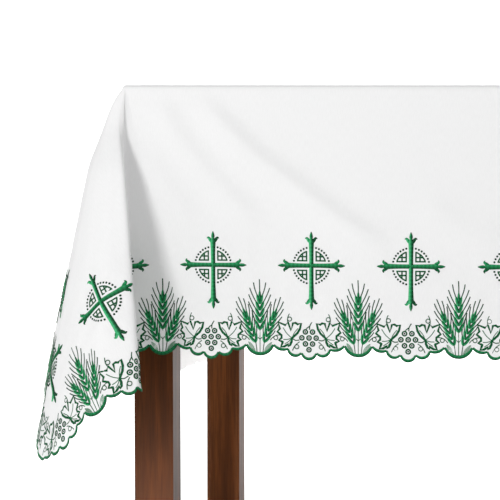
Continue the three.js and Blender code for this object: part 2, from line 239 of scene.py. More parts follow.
def drape(flat):
    # Places flat points, lined up with the table, on the hanging cloth's middle
    flip, a, b, u, v = past_edges(flat)
    side = np.where(a < 0, -1.0, 1.0)
    x, y, fall = a.copy(), b.copy(), np.zeros_like(a)
    angle = np.degrees(np.arctan2(u, v))
    off = (u > 0) | (v > 0)
    folded = off & (angle > FOLD_FIRST) & (angle < FOLD_LAST)
    front = off & ~folded & (v > 0)
    end = off & ~folded & ~front
    # Left corners take the fold as it is, right ones with side and front exchanged
    left, right = folded & (side < 0), folded & (side > 0)
    p = corner_fold(u[left], v[left])
    x[left], y[left], fall[left] = side[left] * (FLAT_X + p[:, 0]), -(FLAT_Y + p[:, 1]), p[:, 2]
    p = corner_fold(v[right], u[right])
    x[right], y[right], fall[right] = side[right] * (FLAT_X + p[:, 1]), -(FLAT_Y + p[:, 0]), p[:, 2]
    out, down = roll(v[front])
    y[front] = -(FLAT_Y + out + slow_wave(a[front], FLAT_X, v[front], FRONT_WAVE, 1.5))
    fall[front] = down
    out, down = roll(u[end])
    x[end] = side[end] * (FLAT_X + out + slow_wave(b[end], FLAT_Y, u[end], SIDE_WAVE, 1))
    fall[end] = down
    return np.stack([flip * x, flip * y, SHEET_TOP - fall], 1)


# Creases
# Soft pressed folds from storage and pulls that run down from the corner.
# Each row is a line in the flat cloth with how far it stands out and how wide it is.
FRONT_CREASES = [
    # ([(along from the left corner, below the edge), ...], height, width on each side of the line)
    ([(110, 0), (168, 63), (232, 124), (303, 177), (375, 230), (437, 268), (485, 295)], 8.0, 42, 13),
    ([(52, 18), (87, 80), (141, 150), (204, 212), (252, 265)], 6.0, 34, 15),
    ([(38, 115), (75, 180), (138, 268)], 4.6, 28, 14),
    ([(515, 195), (588, 247), (676, 275)], 3.0, 40, 18),
    ([(900, 20), (980, 120), (1090, 220)], 4.4, 40, 16),
    ([(1440, 30), (1380, 130), (1290, 230), (1200, 300)], 6.4, 38, 14),
]
SIDE_CREASES = [
    ([(60, 20), (110, 110), (190, 200), (260, 260)], 5.6, 34, 13),
    ([(770, 30), (700, 140), (600, 230)], 5.2, 34, 13),
    ([(380, 60), (430, 190), (520, 280)], 2.8, 38, 20),
]
CORNER_CREASES = [
    ([(30, 60), (60, 160), (120, 300)], 2.4, 30, 16),
    ([(120, 260), (190, 330), (240, 400)], 3.2, 26, 13),
]


def crease_height(p, rows):
    # Sum of the creases at flat places, each steeper below its line than above it
    total = np.zeros(len(p))
    for points, height, above, below in rows:
        points = np.array(points, float)
        best = np.full(len(p), 1e9)
        signed = np.zeros(len(p))
        place = np.zeros(len(p))
        for k in range(len(points) - 1):
            start, step = points[k], points[k + 1] - points[k]
            t = np.clip(((p - start) @ step) / (step @ step), 0, 1)
            away = p - (start + t[:, None] * step)
            distance = np.hypot(away[:, 0], away[:, 1])
            closer = distance < best
            cross = step[0] * away[:, 1] - step[1] * away[:, 0]
            best = np.where(closer, distance, best)
            signed = np.where(closer, np.where(cross > 0, distance, -distance), signed)
            place = np.where(closer, (k + t) / (len(points) - 1), place)
        wide = np.where(signed > 0, above, below)
        fade = smooth(place, 0.0, 0.22) * (1 - smooth(place, 0.72, 1.0))
        total += height * fade * np.exp(-(signed / wide) ** 2)
    return total


def relief(flat):
    # Height of creases and puckers over the plain drape
    flip, a, b, u, v = past_edges(flat)
    total = np.zeros(len(flat))
    front = v > np.maximum(u, 0)
    corner = (u > 0) & (v > 0)
    plain = front & ~corner
    total[plain] += crease_height(np.stack([a[plain] + FLAT_X, v[plain]], 1), FRONT_CREASES)
    end = ~plain & ~corner & (u > 0)
    along = np.where(a[end] < 0, -b[end] + FLAT_Y, b[end] + FLAT_Y)
    total[end] += crease_height(np.stack([along, u[end]], 1), SIDE_CREASES)
    total[corner] += crease_height(np.stack([u[corner], v[corner]], 1), CORNER_CREASES)
    low = np.maximum(u, v)
    x, y = flat[:, 0], flat[:, 1]
    pucker = (np.sin(x / 13.1 + 1.7 * np.sin(y / 21.0)) * np.sin(y / 11.7 + 1.3 * np.sin(x / 17.0))
              + 0.7 * np.sin(x / 7.3 - y / 9.1) * np.sin(x / 19.0 + y / 8.3))
    total += 0.6 * pucker * smooth(low, HANG - 260, HANG - 170)
    drift = np.sin(x / 83.0 + np.sin(y / 61.0)) * np.sin(y / 71.0 + np.sin(x / 97.0))
    total += 0.8 * drift * smooth(low, 30, 160)
    return total * smooth(low, 6, 40)


def on_cloth(flat, height):
    # Places flat points on the outer face of the hanging cloth, a height above it
    step = 0.4
    east, north = np.array([step, 0.0]), np.array([0.0, step])
    da = drape(flat + east) - drape(flat - east)
    db = drape(flat + north) - drape(flat - north)
    normal = np.cross(da, db)
    normal /= np.maximum(np.linalg.norm(normal, axis=1), 1e-9)[:, None]
    return (drape(flat) + normal * (relief(flat) + height)[:, None]) / 1000


def make_mesh(name, points, faces, material, uv=None, thread_tone_and_sheen=None):
    # A linked object from points in metres and rows of corner numbers
    mesh = bpy.data.meshes.new(name)
    count, corners = faces.shape
    mesh.vertices.add(len(points))
    mesh.vertices.foreach_set("co", np.asarray(points, np.float32).ravel())
    mesh.loops.add(count * corners)
    mesh.loops.foreach_set("vertex_index", faces.ravel().astype(np.int32))
    mesh.polygons.add(count)
    mesh.polygons.foreach_set("loop_start", np.arange(0, count * corners, corners, dtype=np.int32))
    mesh.update(calc_edges=True)
    mesh.validate()
    mesh.polygons.foreach_set("use_smooth", np.ones(len(mesh.polygons), bool))
    loops = np.zeros(len(mesh.loops), np.int32)
    mesh.loops.foreach_get("vertex_index", loops)
    if uv is not None:
        layer = mesh.uv_layers.new(name="cut")
        layer.data.foreach_set("uv", np.asarray(uv, np.float32)[loops].ravel())
    if thread_tone_and_sheen is not None:
        layer = mesh.attributes.new("thread_tone_and_sheen", "FLOAT", "POINT")
        layer.data.foreach_set("value", np.asarray(thread_tone_and_sheen, np.float32))
    mesh.materials.append(material)
    piece = bpy.data.objects.new(name, mesh)
    bpy.context.scene.collection.objects.link(piece)
    return piece


# Scalloped outline
# The hem repeats one wide scallop under each wheat sheaf and five small ones under each
# bunch of grapes. The outline is worked out in the flat cloth, then turned a little,
# because the cloth lies slightly askew on the table.
REPEAT = 173.2
LENGTH_REPEATS = 14
DEPTH_REPEATS = 10
WHEAT_ARC_WIDTH = 48.7
GRAPE_ARC_WIDTHS = [24.0, 24.6, 27.3, 24.6, 24.0]
CUSP_HEIGHTS = [24.2, 17.7, 10.4, 10.4, 17.7, 24.2]
ARC_LOWS = [16.0, 5.7, 0.2, 5.7, 16.0]
WHEAT_ARC_LOW = 7.4
CORNER_LOBE_DEPTH = 8.0
ARC_STEP_MM = 3.2
HEM_SHIFT = -6.0


def scallop(start, end, left_cusp, right_cusp, low):
    # Arc of the circle through both cusps that just touches the low line
    a, b, width = left_cusp - low, right_cusp - low, end - start
    if abs(a - b) < 1e-6:
        middle = width / 2
    else:
        half_b, c = a * width, a * b * (a - b) - a * width ** 2
        middle = (-half_b + math.sqrt(half_b ** 2 - (b - a) * c)) / (b - a)
    radius = (middle ** 2 + a ** 2) / (2 * a)
    first = math.atan2(-middle, radius - a)
    last = math.atan2(width - middle, radius - b)
    turn = np.linspace(first, last, 1 + int(round(radius * (last - first) / ARC_STEP_MM)))
    return np.stack([start + middle + radius * np.sin(turn), low + radius * (1 - np.cos(turn))], 1)


def hem_arcs(repeats):
    # All scallops of one side from left to right, five small ones and one wide one in turn
    x = -(repeats - 1) / 2 * REPEAT - sum(GRAPE_ARC_WIDTHS) / 2 + HEM_SHIFT
    arcs = []
    for k in range(repeats):
        for i, width in enumerate(GRAPE_ARC_WIDTHS):
            arcs.append(scallop(x, x + width, CUSP_HEIGHTS[i], CUSP_HEIGHTS[i + 1], ARC_LOWS[i]))
            x += width
        if k < repeats - 1:
            arcs.append(scallop(x, x + WHEAT_ARC_WIDTH, CUSP_HEIGHTS[0], CUSP_HEIGHTS[0], WHEAT_ARC_LOW))
            x += WHEAT_ARC_WIDTH
    return arcs


def side_place(side, p):
    # Turns (along, height over the hem) on one of the four sides into the flat cloth
    across = HEM_Y if side % 2 == 0 else HEM_X
    c, s = [(1, 0), (0, 1), (-1, 0), (0, -1)][side]
    out = across - p[:, 1]
    return np.stack([c * p[:, 0] + s * out, s * p[:, 0] - c * out], 1)


def turn_askew(p):
    c, s = math.cos(ASKEW), math.sin(ASKEW)
    return np.stack([p[:, 0] * c - p[:, 1] * s, p[:, 0] * s + p[:, 1] * c], 1)


def corner_lobe(side, arcs):
    # The plain lobe round the cloth's corner, from this side's last cusp to the next side's first
    half = HEM_X if side % 2 == 0 else HEM_Y
    last = arcs[side][-1][-1]
    ahead = arcs[(side + 1) % 4][0][0]
    ahead_half = HEM_Y if side % 2 == 0 else HEM_X
    first_place = np.array([last[0] - (half - HANG), HANG - last[1]])
    last_place = np.array([HANG - ahead[1], -ahead[0] - (ahead_half - HANG)])
    t = np.linspace(0, 1, 19)
    turns = [math.atan2(*p) for p in (first_place, last_place)]
    reaches = [np.hypot(*p) for p in (first_place, last_place)]
    turn = turns[0] + (turns[1] - turns[0]) * t
    r = reaches[0] + (reaches[1] - reaches[0]) * t + CORNER_LOBE_DEPTH * np.sqrt(np.sin(np.pi * t))
    return np.stack([half - HANG + r * np.sin(turn), HANG - r * np.cos(turn)], 1)


def all_arcs():
    # Every scallop and lobe of the hem in the flat cloth, round the cloth from the front
    sides = [hem_arcs(LENGTH_REPEATS if side % 2 == 0 else DEPTH_REPEATS) for side in range(4)]
    placed = []
    for side in range(4):
        for arc in sides[side] + [corner_lobe(side, sides)]:
            placed.append(side_place(side, arc))
    return placed


arcs = all_arcs()
hem = np.concatenate([arc[:-1] for arc in arcs])

# Eyelets of the grapes, in the flat cloth: along and above the hem from a bunch's middle
GRAPE_PITCH = 12.6
GRAPE_ROWS = [(50.0, 2), (39.4, 3), (29.0, 2), (18.8, 1)]
EYELET_RADIUS = 1.5
grape_places = [((i - (count - 1) / 2) * GRAPE_PITCH, height)
                for height, count in GRAPE_ROWS for i in range(count)]


def bunch_middles(side):
    repeats = LENGTH_REPEATS if side % 2 == 0 else DEPTH_REPEATS
    return (np.arange(repeats) - (repeats - 1) / 2) * REPEAT + HEM_SHIFT


eyelets = np.concatenate([side_place(side, np.array([(m + x, y) for m in bunch_middles(side)
                                                     for x, y in grape_places]))
                          for side in range(4)])

# Sheet's mesh, rays from the table's edge to the hem and a finer band with the holes
RAY_STEP = 9.5
ANGLE_STEP = 0.8
BAND = 78.0
BAND_ROW = 6.5
BAND_STEP = 7.0
EYELET_SIDES = 10


def edge_values(flat_half):
    # Places along one side where its rays meet the plain line at full hang
    angles = np.arange(FOLD_FIRST, 45 + 1e-6, (45 - FOLD_FIRST) / round((45 - FOLD_FIRST) / ANGLE_STEP))
    corner = flat_half + HANG * np.tan(np.radians(angles))
    inner = corner[0]
    count = int(round(2 * inner / RAY_STEP))
    middle = np.linspace(-inner, inner, count + 1)[1:-1]
    return np.concatenate([-corner[::-1], middle, corner[:-1]])


def ray_ring():
    # Both ends of every ray, on the table's edge line and on the plain line at full hang
    starts, ends = [], []
    spread = math.tan(math.radians(-FOLD_FIRST))
    for side in range(4):
        half, across = (FLAT_X, FLAT_Y) if side % 2 == 0 else (FLAT_Y, FLAT_X)
        values = edge_values(half)
        inner = half - spread * HANG
        start = np.clip(values * half / inner, -half, half)
        c, s = [(1, 0), (0, 1), (-1, 0), (0, -1)][side]
        for store, along, out in ((starts, start, across), (ends, values, across + HANG)):
            store.append(np.stack([c * along + s * out, s * along - c * out], 1))
    return np.concatenate(starts), np.concatenate(ends)


starts, ends = ray_ring()
levels = np.concatenate([np.linspace(0, QUARTER_ROLL, 6), np.arange(17, 60, 4.5),
                         np.arange(62, HANG - BAND - 4, 8.5), [HANG - BAND]])
rings = [starts + (ends - starts) * (level / HANG) for level in levels[1:]]
rays = len(starts)
sheet_points = [np.concatenate(rings)]
count = len(rings)
grid = np.arange(count * rays).reshape(count, rays)
after = np.roll(grid, -1, axis=1)
quads = np.stack([grid[1:], after[1:], after[:-1], grid[:-1]], 2).reshape(-1, 4)

# Band with scallops and eyelets
inner_ring = rings[-1]
outline = turn_askew(hem)
holes = turn_askew(eyelets)
turn = np.arange(EYELET_SIDES) * 2 * np.pi / EYELET_SIDES
circle = np.stack([np.cos(turn), np.sin(turn)], 1)
hole_points = (holes[:, None, :] + EYELET_RADIUS * circle[None]).reshape(-1, 2)
fill = []
for side in range(4):
    half, across = (HEM_X, HEM_Y) if side % 2 == 0 else (HEM_Y, HEM_X)
    for row, height in enumerate(np.arange(30, BAND - 9, BAND_ROW)):
        along = np.arange(-half + height, half - height, BAND_STEP) + (row % 2) * BAND_STEP / 2
        fill.append(side_place(side, np.stack([along, np.full(len(along), height)], 1)))
fill = np.concatenate(fill)
keep = np.ones(len(fill), bool)
for k in range(0, len(eyelets), 200):
    away = np.hypot(*(fill[:, None, :] - eyelets[None, k:k + 200]).transpose(2, 0, 1))
    keep &= away.min(1) > EYELET_RADIUS + 1.6
fill = turn_askew(fill[keep])
inner_box = np.abs(inner_ring).max(0)
reach = np.maximum(np.abs(fill[:, 0]) - inner_box[0], np.abs(fill[:, 1]) - inner_box[1])
fill = fill[reach > 3.5]


def loop_edges(start, size):
    return [(start + i, start + (i + 1) % size) for i in range(size)]


def filled(points, edges):
    # Triangles between flat points that keep the given edges
    found = delaunay_2d_cdt([Vector(p) for p in points], edges, [], 1, 1e-7)
    return np.array([tuple(p) for p in found[0]]), np.array(found[2])


def face_up(points, triangles):
    # Turns flat triangles the right way round, so that they face away from the table
    corners = points[triangles]
    area = np.cross(corners[:, 1] - corners[:, 0], corners[:, 2] - corners[:, 0])
    return np.where((area < 0)[:, None], triangles[:, ::-1], triangles)


vertices = np.concatenate([inner_ring, outline, hole_points, fill])
edges = loop_edges(0, rays) + loop_edges(rays, len(outline))
base = rays + len(outline)
for k in range(len(holes)):
    edges += loop_edges(base + EYELET_SIDES * k, EYELET_SIDES)
band_points, triangles = filled(vertices, edges)
middles = band_points[triangles].mean(1)
inside = (np.abs(middles[:, 0]) < inner_box[0] - 1e-4) & (np.abs(middles[:, 1]) < inner_box[1] - 1e-4)
in_hole = np.zeros(len(middles), bool)
for k in range(0, len(holes), 100):
    away = np.hypot(*(middles[:, None, :] - holes[None, k:k + 100]).transpose(2, 0, 1))
    in_hole |= away.min(1) < EYELET_RADIUS * 0.95
triangles = face_up(band_points, triangles[~inside & ~in_hole])

# Top, a level sheet
inner = [(x, y) for y in np.linspace(-FLAT_Y + 12, FLAT_Y - 12, 32)
         for x in np.linspace(-FLAT_X + 12, FLAT_X - 12, 58)]
first_seen = np.unique(np.round(starts, 5), axis=0, return_index=True)[1]
top_line = starts[np.sort(first_seen)]
top_points, top_triangles = filled(np.concatenate([top_line, inner]), loop_edges(0, len(top_line)))
top_triangles = face_up(top_points, top_triangles)

# First ring down from the top's edge, quads that end on one point at each corner
ring_start = len(sheet_points[0])
sheet_points.append(starts)
grid = np.stack([np.arange(rays), ring_start + np.arange(rays)])
after = np.roll(grid, -1, axis=1)
first_quads = np.stack([grid[0], after[0], after[1], grid[1]], 1)
band_start = ring_start + rays
sheet_points.append(band_points)
top_start = band_start + len(band_points)
sheet_points.append(top_points)
flat_points = np.concatenate(sheet_points)
faces = np.concatenate([
    quads[:, [0, 1, 2]], quads[:, [0, 2, 3]],
    first_quads[:, [0, 1, 2]], first_quads[:, [0, 2, 3]],
    triangles + band_start, top_triangles + top_start,
])
_, index, inverse = np.unique(np.round(flat_points, 3), axis=0, return_index=True, return_inverse=True)
flat_points = flat_points[index]
faces = inverse.ravel()[faces]
bad = (faces[:, 0] == faces[:, 1]) | (faces[:, 1] == faces[:, 2]) | (faces[:, 0] == faces[:, 2])
faces = faces[~bad]

# Woven cloth: plain weave of linen and cotton, matt and slightly slubbed. Its threads lie about
# 0.4 mm apart and are drawn coarser, so that the weave shows
THREAD_MM = 0.9
SLUBS_IN_A_METRE = 900.0
CLOTH_WHITE = "#f5f5f5"
CLOTH_SHADE = "#f1f1f1"
weave, tree, shader = new_material("plain_weave_linen")
cut = add_node(tree, "ShaderNodeUVMap", {"uv_map": "cut"})
threads = []
for turned in (False, True):
    wave = add_node(tree, "ShaderNodeTexWave",
                    {"bands_direction": "Y" if turned else "X", "Scale": 1000 / THREAD_MM / 20,
                     "Distortion": 1.2, "Detail": 2.0, "Detail Scale": 1.5},
                    {"Vector": cut.outputs[0]})
    threads.append(wave.outputs["Fac"])
both = add_node(tree, "ShaderNodeMath", {"operation": "ADD"}, {0: threads[0], 1: threads[1]})
slub_place = add_node(tree, "ShaderNodeMapping", {"Scale": (1.0, 0.1, 1.0)}, {"Vector": cut.outputs[0]})
slub = add_node(tree, "ShaderNodeTexNoise", {"Scale": SLUBS_IN_A_METRE, "Detail": 2.0},
                {"Vector": slub_place.outputs[0]})
tint = add_node(tree, "ShaderNodeValToRGB", None, {"Fac": slub.outputs["Fac"]})
set_ramp(tint, [(0.3, CLOTH_SHADE), (0.7, CLOTH_WHITE)])
tree.links.new(tint.outputs[0], shader.inputs["Base Color"])
shader.inputs["Roughness"].default_value = 0.86
shader.inputs["Specular IOR Level"].default_value = 0.25
shader.inputs["Sheen Weight"].default_value = 0.15
shader.inputs["Sheen Roughness"].default_value = 0.5
bump = add_node(tree, "ShaderNodeBump", {"Strength": 0.12, "Distance": 0.0002},
                {"Height": both.outputs[0]})
coarse = add_node(tree, "ShaderNodeBump", {"Strength": 0.06, "Distance": 0.0002},
                  {"Height": slub.outputs["Fac"], "Normal": bump.outputs[0]})
tree.links.new(coarse.outputs[0], shader.inputs["Normal"])

sheet = make_mesh("cloth_sheet", on_cloth(flat_points, np.zeros(len(flat_points))), faces, weave,
                  uv=flat_points / 1000)
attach(sheet, "root")
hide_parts("cloth")

# Satin stitch
# All the green embroidery is worked by machine in rayon thread: raised satin bars, fine
# running lines and small knots, each a strip with a rounded back that lies on the cloth.
# The thread's sheen is painted into its colour: one half of a bar painted lighter as if lit, the other
# darker as if in shade. Real stitches lie about 0.4 mm apart and are drawn coarser, so that they show.
# Greens from darkest to lightest. The lightest is a painted highlight, reached on the lit halves of bars;
# the dark halves take painted shade from the darker greens, which are also the thread's own dark green
THREAD_DEEP = "#04321c"
THREAD_DARK = "#095731"
THREAD_MID = "#17804a"
THREAD_SHEEN_HIGHLIGHT = "#48b87b"
STITCH_MM = 1.1
STITCH_CLEAR_MM = 0.25
satin, tree, shader = new_material("rayon_satin_stitch")
cut = add_node(tree, "ShaderNodeUVMap", {"uv_map": "cut"})
# Each point's tone picks its green: the thread's own colour plus the painted sheen, lighter on one half
# of a strip and darker on the other
thread_tone_and_sheen = add_node(tree, "ShaderNodeAttribute", {"attribute_name": "thread_tone_and_sheen"})
stitches = add_node(tree, "ShaderNodeTexWave",
                    {"bands_direction": "X", "Scale": 1000 / STITCH_MM / 20, "Distortion": 0.6,
                     "Detail": 1.0},
                    {"Vector": cut.outputs[0]})
vary = add_node(tree, "ShaderNodeMapRange", {"To Min": -0.08, "To Max": 0.08},
                {"Value": stitches.outputs["Fac"]})
level = add_node(tree, "ShaderNodeMath", {"operation": "ADD"},
                 {0: thread_tone_and_sheen.outputs["Fac"], 1: vary.outputs[0]})
tint = add_node(tree, "ShaderNodeValToRGB", None, {"Fac": level.outputs[0]})
set_ramp(tint, [(0.0, THREAD_DEEP), (0.25, THREAD_DARK), (0.6, THREAD_MID), (1.0, THREAD_SHEEN_HIGHLIGHT)])
tree.links.new(tint.outputs[0], shader.inputs["Base Color"])
shader.inputs["Roughness"].default_value = 0.5
shader.inputs["Specular IOR Level"].default_value = 0.15
bump = add_node(tree, "ShaderNodeBump", {"Strength": 0.35, "Distance": 0.0003},
                {"Height": stitches.outputs["Fac"]})
tree.links.new(bump.outputs[0], shader.inputs["Normal"])


def strip(path, widths, rise, tones=(0.5, 0.5), closed=False, across=5):
    # A raised strip of stitches along a path: points, faces, stitch map and tones.
    # Its back sinks to the cloth at both ends, so that no end is open.
    path = np.asarray(path, float)
    if len(path) == 2:
        path = path[0] + (path[1] - path[0]) * np.array([0, 0.08, 0.92, 1])[:, None]
    widths = np.broadcast_to(np.asarray(widths, float), (len(path),))
    if closed:
        ahead, behind = np.roll(path, -1, 0), np.roll(path, 1, 0)
    else:
        ahead = np.concatenate([path[1:], path[-1:]])
        behind = np.concatenate([path[:1], path[:-1]])
    way = ahead - behind
    way /= np.maximum(np.hypot(*way.T), 1e-9)[:, None]
    left = np.stack([-way[:, 1], way[:, 0]], 1)
    t = np.linspace(1, -1, across)
    back = np.sqrt(np.maximum(1 - t ** 2, 0))
    flat = path[:, None, :] + left[:, None, :] * (t[None, :, None] * widths[:, None, None] / 2)
    ends = np.ones(len(path))
    if not closed:
        ends[[0, -1]] = 0.0
    height = rise * ends[:, None] * back[None]
    points = np.concatenate([flat, height[..., None]], 2).reshape(-1, 3)
    length = np.concatenate([[0], np.cumsum(np.hypot(*np.diff(path, axis=0).T))])
    stitch = np.stack(np.broadcast_arrays(length[:, None], t[None] * widths[:, None] / 2), 2)
    # Painted sheen: the strip's left half takes tones[0] and its right half tones[1], so one side is
    # painted lighter and the other darker
    tone_and_painted_sheen = np.broadcast_to(np.where(t > 0.05, tones[0], np.where(t < -0.05, tones[1], sum(tones) / 2)),
                            (len(path), across)).ravel()
    rows = len(path)
    grid = np.arange(rows * across).reshape(rows, across)
    after = np.roll(grid, -1, 0)
    last = rows if closed else rows - 1
    quads = np.stack([grid[:last, :-1], grid[:last, 1:], after[:last, 1:], after[:last, :-1]], 2)
    return points, quads.reshape(-1, 4), stitch.reshape(-1, 2), tone_and_painted_sheen


def join(parts):
    # Several strips as one motif
    points, faces, stitch, tone_and_painted_sheen, start = [], [], [], [], 0
    for p, f, s, t in parts:
        points.append(p)
        faces.append(f + start)
        stitch.append(s)
        tone_and_painted_sheen.append(t)
        start += len(p)
    return np.concatenate(points), np.concatenate(faces), np.concatenate(stitch), np.concatenate(tone_and_painted_sheen)


def moved(part, turn=0.0, dx=0.0, dy=0.0, mirror=False):
    # A motif mirrored if asked, then turned and moved
    p, f, s, t = part
    p = p.copy()
    if mirror:
        p[:, 0] *= -1
        f = f[:, ::-1]
    c, n = math.cos(turn), math.sin(turn)
    x, y = p[:, 0].copy(), p[:, 1].copy()
    p[:, 0], p[:, 1] = x * c - y * n + dx, x * n + y * c + dy
    return p, f, s, t


def curve(points, steps):
    # A smooth line through given points
    p = np.asarray(points, float)
    q = np.concatenate([[2 * p[0] - p[1]], p, [2 * p[-1] - p[-2]]])
    t = np.linspace(0, len(p) - 1, steps)
    i = np.minimum(t.astype(int), len(p) - 2)
    f = (t - i)[:, None]
    a, b, c, d = q[i], q[i + 1], q[i + 2], q[i + 3]
    return 0.5 * (2 * b + (c - a) * f + (2 * a - 5 * b + 4 * c - d) * f ** 2
                  + (3 * b - a - 3 * c + d) * f ** 3)


def petal(length, width, rise, tones, belly=0.45, full=0.8, rows=7):
    # A lens of satin stitch from the origin up to its point, blunter where full is small
    t = np.linspace(0, 1, rows)
    path = np.stack([np.zeros(rows), t * length], 1)
    bent = np.power(t, math.log(0.5) / math.log(belly))
    return strip(path, width * np.sin(np.pi * np.clip(bent, 0.04, 0.96)) ** full, rise, tones)


# Repeats
# One motif is worked flat, set along all four sides by a small node tree, and then laid
# on the hanging cloth, so that it follows the folds without stretching.
def repeat_tree():
    # Sets an instance of the motif on each place, turned by the place's own angle
    tree = bpy.data.node_groups.new("set_motif_along_hem", "GeometryNodeTree")
    face = tree.interface
    face.new_socket("Geometry", in_out="INPUT", socket_type="NodeSocketGeometry")
    face.new_socket("Motif", in_out="INPUT", socket_type="NodeSocketObject")
    face.new_socket("Thread", in_out="INPUT", socket_type="NodeSocketMaterial")
    face.new_socket("Geometry", in_out="OUTPUT", socket_type="NodeSocketGeometry")
    source = tree.nodes.new("NodeGroupInput")
    target = tree.nodes.new("NodeGroupOutput")
    motif = add_node(tree, "GeometryNodeObjectInfo", None, {"Object": source.outputs["Motif"]})
    turn = add_node(tree, "GeometryNodeInputNamedAttribute", {"data_type": "FLOAT", "Name": "turn"})
    spin = add_node(tree, "ShaderNodeCombineXYZ", None, {"Z": turn.outputs[0]})
    place = add_node(tree, "GeometryNodeInstanceOnPoints", None,
                     {"Points": source.outputs["Geometry"], "Instance": motif.outputs["Geometry"],
                      "Rotation": spin.outputs[0]})
    real = add_node(tree, "GeometryNodeRealizeInstances", None, {"Geometry": place.outputs[0]})
    thread = add_node(tree, "GeometryNodeSetMaterial", None,
                      {"Geometry": real.outputs[0], "Material": source.outputs["Thread"]})
    tree.links.new(thread.outputs[0], target.inputs[0])
    return tree


set_motif = repeat_tree()


def embroider(name, motif, places):
    # places holds rows of (side, along, height over the hem)
    points, faces, stitch, tone_and_painted_sheen = motif
    pattern = make_mesh(name + "_pattern", points, faces, satin, uv=stitch / 1000, thread_tone_and_sheen=tone_and_painted_sheen)
    spots = np.array([side_place(side, np.array([[along, height]]))[0] for side, along, height in places])
    turns = [side * math.pi / 2 for side, _, _ in places]
    mesh = bpy.data.meshes.new(name)
    mesh.vertices.add(len(spots))
    mesh.vertices.foreach_set("co", np.column_stack([spots, np.zeros(len(spots))]).ravel())
    layer = mesh.attributes.new("turn", "FLOAT", "POINT")
    layer.data.foreach_set("value", np.array(turns, np.float32))
    rows = bpy.data.objects.new(name, mesh)
    bpy.context.scene.collection.objects.link(rows)
    modifier = rows.modifiers.new("set_motif", "NODES")
    modifier.node_group = set_motif
    for item in set_motif.interface.items_tree:
        if item.in_out == "INPUT" and item.name in ("Motif", "Thread"):
            modifier[item.identifier] = pattern if item.name == "Motif" else satin
    view = bpy.context.evaluated_depsgraph_get()
    view.update()
    real = bpy.data.meshes.new_from_object(rows.evaluated_get(view))
    rows.modifiers.clear()
    rows.data = real
    bpy.data.objects.remove(pattern)
    bpy.data.meshes.remove(mesh)
    real.name = name
    lay_on_cloth(rows)


def lay_on_cloth(piece):
    # Carries flat embroidery onto the hanging cloth and gives it its body
    mesh = piece.data
    co = np.zeros(len(mesh.vertices) * 3)
    mesh.vertices.foreach_get("co", co)
    co = co.reshape(-1, 3)
    placed = on_cloth(turn_askew(co[:, :2]), co[:, 2] + STITCH_CLEAR_MM)
    mesh.vertices.foreach_set("co", placed.ravel())
    mesh.polygons.foreach_set("use_smooth", np.ones(len(mesh.polygons), bool))
    mesh.update()
    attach(piece, "root")


# Satin-stitched edge
# A close satin binding covers the cut edge of every scallop. It is broad at the bottom
# of a scallop and narrows to the cusps, where two bindings meet.
EDGE_WIDTH = 5.5
WHEAT_EDGE_WIDTH = 6.4
EDGE_OVERHANG = 0.4
CUSP_OVERLAP = 1.8

edge_parts = []
for arc in arcs:
    way = np.gradient(arc, axis=0)
    way /= np.hypot(*way.T)[:, None]
    inward = np.stack([-way[:, 1], way[:, 0]], 1)
    length = np.hypot(*(arc[-1] - arc[0]))
    broad = WHEAT_EDGE_WIDTH if 40 < length < 60 else EDGE_WIDTH
    widths = broad * (0.74 + 0.26 * np.sin(np.pi * np.linspace(0, 1, len(arc))))
    middle = arc + inward * (widths / 2 - EDGE_OVERHANG)[:, None]
    over = CUSP_OVERLAP * way
    middle = np.concatenate([[middle[0] - over[0]], middle, [middle[-1] + over[-1]]])
    widths = np.concatenate([widths[:1] * 0.7, widths, widths[-1:] * 0.7])
    # Painted sheen: the binding's inner half is painted lighter and its outer half darker
    edge_parts.append(strip(middle, widths, 0.7, (0.55, 0.2)))
points, faces, stitch, tone_and_painted_sheen = join(edge_parts)
edge = make_mesh("satin_edge", points, faces, satin, uv=stitch / 1000, thread_tone_and_sheen=tone_and_painted_sheen)
lay_on_cloth(edge)

# Crosses
# A budded cross in padded satin stands over each bunch of grapes, its bars painted in two tones
# for the sheen: lighter on their left or upper halves, darker on the others. Behind its
# crossing lie a ring of knots and four quarter frames with a small grid in each.
ARM_UP = 58.6
ARM_DOWN = 76.7
ARM_SIDE = 58.5
BAR_WIDTH = 7.6
CROSS_HEIGHT = 166.0
CROSS_SHIFT = 4.6
KNOT_RING = 31.8
KNOT_SIZE = 3.9
FRAME_LINE = 2.5


def knot(x, y, size):
    # A small round knot, six sided
    turn = np.arange(6) * np.pi / 3
    points = np.concatenate([
        np.stack([x + radius * np.cos(turn), y + radius * np.sin(turn), np.full(6, rise)], 1)
        for radius, rise in ((size / 2, 0.0), (size / 3.4, size * 0.3))])
    i = np.arange(6)
    j = (i + 1) % 6
    quads = np.stack([i, j, j + 6, i + 6], 1)
    caps = np.array([[6, 7, 8, 9], [6, 9, 10, 11]])
    return points, np.concatenate([quads, caps]), points[:, :2].copy(), np.zeros(12)


